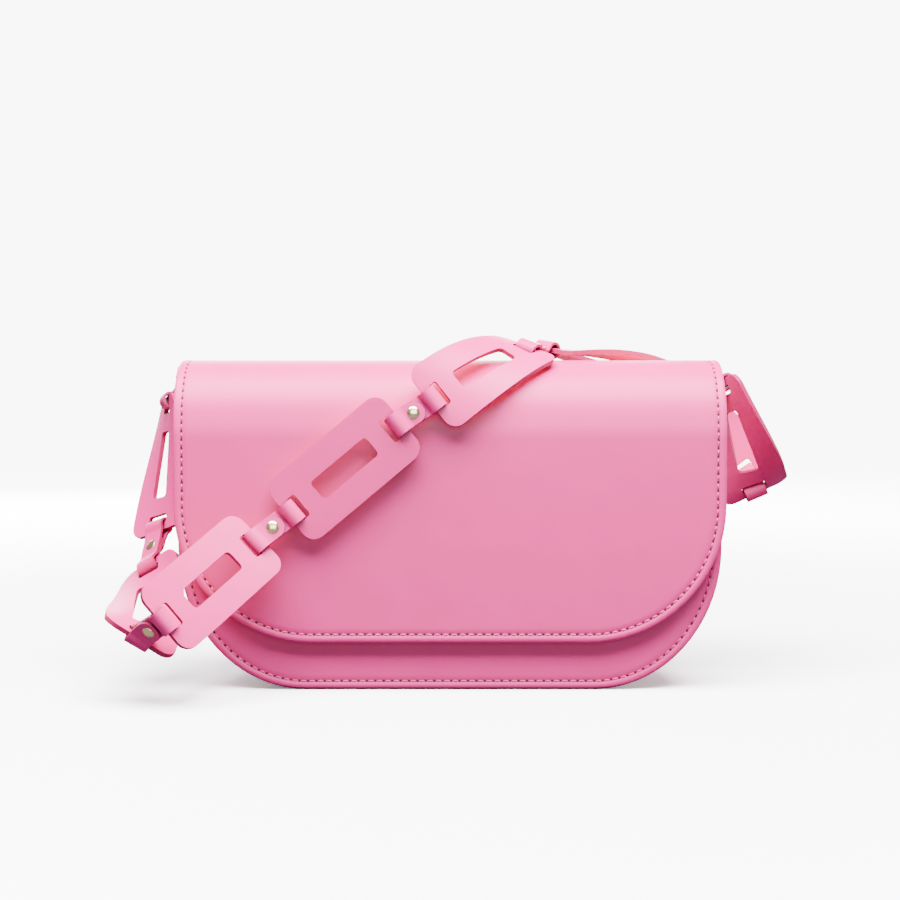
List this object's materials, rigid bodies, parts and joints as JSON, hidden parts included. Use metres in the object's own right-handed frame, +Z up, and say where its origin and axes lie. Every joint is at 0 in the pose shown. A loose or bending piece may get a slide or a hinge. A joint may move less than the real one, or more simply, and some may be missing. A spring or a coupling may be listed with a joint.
{
  "type": "crossbody purse",
  "caption": "Smooth leather flap bag with a rounded base and a shoulder strap of riveted leather links, its flap and strap jointed.",
  "frame": {"origin": "middle of the underside of the base", "axes": "X to the right seen from the front, +Y to the back, +Z up"},
  "size_m": [0.3193, 0.1498, 0.1617],
  "materials": {
    "leather": "smooth satin, pink",
    "fabric": "plain woven lining, deeper pink",
    "gold": "polished pale gold"
  },
  "bodies": {
    "bag": {"front_panel": "leather", "back_panel": "leather", "gusset": "leather", "lining": "fabric", "snap_lower": "gold", "anchor_left": "leather", "anchor_right": "leather"},
    "flap": {"flap": "leather", "flap_lining": "fabric", "snap_upper": "gold", "connector_5": "leather", "rivet_5": "gold", "link_6": "leather"},
    "link_5": {"link_5": "leather"},
    "connector_4": {"connector_4": "leather", "rivet_4": "gold"},
    "link_4": {"link_4": "leather"},
    "connector_3": {"connector_3": "leather", "rivet_3": "gold"},
    "link_3": {"link_3": "leather"},
    "connector_2": {"connector_2": "leather", "rivet_2": "gold"},
    "link_2": {"link_2": "leather"},
    "connector_1": {"connector_1": "leather", "rivet_1": "gold"},
    "link_1": {"link_1": "leather"},
    "connector_0": {"connector_0": "leather", "rivet_0": "gold"},
    "connector_6": {"connector_6": "leather", "rivet_6": "gold"},
    "link_7": {"link_7": "leather"},
    "connector_7": {"connector_7": "leather", "rivet_7": "gold"},
    "link_8": {"link_8": "leather"},
    "connector_8": {"connector_8": "leather", "rivet_8": "gold"}
  },
  "joints": [
    {"name": "flap_hinge", "type": "hinge", "parent": "bag", "child": "flap", "pos_m": [0, 0.0237, 0.142], "axis": [-1, 0, 0], "range_deg": [0, 105], "deforming": ["link_6"]},
    {"name": "link_5_swing", "type": "hinge", "parent": "flap", "child": "link_5", "pos_m": [0.0367, -0.00746, 0.15518], "axis": [-0.724, 0.6203, 0.3018], "range_deg": [0, 6]},
    {"name": "connector_4_swing", "type": "hinge", "parent": "link_5", "child": "connector_4", "pos_m": [-0.00767, -0.03767, 0.1324], "axis": [-0.6214, 0.071, 0.7803], "range_deg": [0, 6]},
    {"name": "link_4_swing", "type": "hinge", "parent": "connector_4", "child": "link_4", "pos_m": [-0.02331, -0.0387, 0.12175], "axis": [-0.6428, 0, 0.766], "range_deg": [0, 6]},
    {"name": "connector_3_swing", "type": "hinge", "parent": "link_4", "child": "connector_3", "pos_m": [-0.07109, -0.0387, 0.08165], "axis": [-0.6428, 0, 0.766], "range_deg": [0, 6]},
    {"name": "link_3_swing", "type": "hinge", "parent": "connector_3", "child": "link_3", "pos_m": [-0.08657, -0.0421, 0.06929], "axis": [-0.7069, 0.09, 0.7016], "range_deg": [0, 6]},
    {"name": "connector_2_swing", "type": "hinge", "parent": "link_3", "child": "connector_2", "pos_m": [-0.12133, -0.0807, 0.03921], "axis": [-0.6289, -0.0387, 0.7765], "range_deg": [0, 6]},
    {"name": "link_2_swing", "type": "hinge", "parent": "connector_2", "child": "link_2", "pos_m": [-0.13431, -0.06796, 0.02983], "axis": [-0.8228, -0.1875, 0.5365], "range_deg": [0, 6]},
    {"name": "connector_1_swing", "type": "hinge", "parent": "link_2", "child": "connector_1", "pos_m": [-0.13953, -0.0106, 0.05463], "axis": [-0.7814, 0.3753, -0.4986], "range_deg": [0, 6]},
    {"name": "link_1_swing", "type": "hinge", "parent": "connector_1", "child": "link_1", "pos_m": [-0.13829, 0.00504, 0.07063], "axis": [0.806, -0.5037, 0.3108], "range_deg": [0, 6]},
    {"name": "connector_0_swing", "type": "hinge", "parent": "link_1", "child": "connector_0", "pos_m": [-0.13551, 0.02169, 0.13091], "axis": [0.3217, -0.9368, 0.1377], "range_deg": [0, 6]},
    {"name": "connector_6_swing", "type": "hinge", "parent": "bag", "child": "connector_6", "pos_m": [0.09891, 0.04042, 0.14062], "axis": [0.8338, -0.4602, 0.3051], "range_deg": [0, 6]},
    {"name": "link_7_swing", "type": "hinge", "parent": "connector_6", "child": "link_7", "pos_m": [0.10779, 0.05869, 0.13598], "axis": [0.7402, -0.3007, 0.6014], "range_deg": [0, 6]},
    {"name": "connector_7_swing", "type": "hinge", "parent": "link_7", "child": "connector_7", "pos_m": [0.14846, 0.0516, 0.0931], "axis": [0.8322, -0.0026, 0.5545], "range_deg": [0, 6]},
    {"name": "link_8_swing", "type": "hinge", "parent": "connector_7", "child": "link_8", "pos_m": [0.14946, 0.03163, 0.08661], "axis": [0.9168, -0.0338, 0.3979], "range_deg": [0, 6]},
    {"name": "connector_8_swing", "type": "hinge", "parent": "link_8", "child": "connector_8", "pos_m": [0.13278, 0.02394, 0.1392], "axis": [0.2079, -0.9504, 0.2315], "range_deg": [0, 6]}
  ],
  "couplings": [
    {"joint": "connector_4_swing", "follows": "link_5_swing", "ratio": 1},
    {"joint": "connector_3_swing", "follows": "link_4_swing", "ratio": 1},
    {"joint": "connector_2_swing", "follows": "link_3_swing", "ratio": 1},
    {"joint": "connector_1_swing", "follows": "link_2_swing", "ratio": 1},
    {"joint": "connector_6_swing", "follows": "link_7_swing", "ratio": 1},
    {"joint": "connector_7_swing", "follows": "link_8_swing", "ratio": 1}
  ]
}
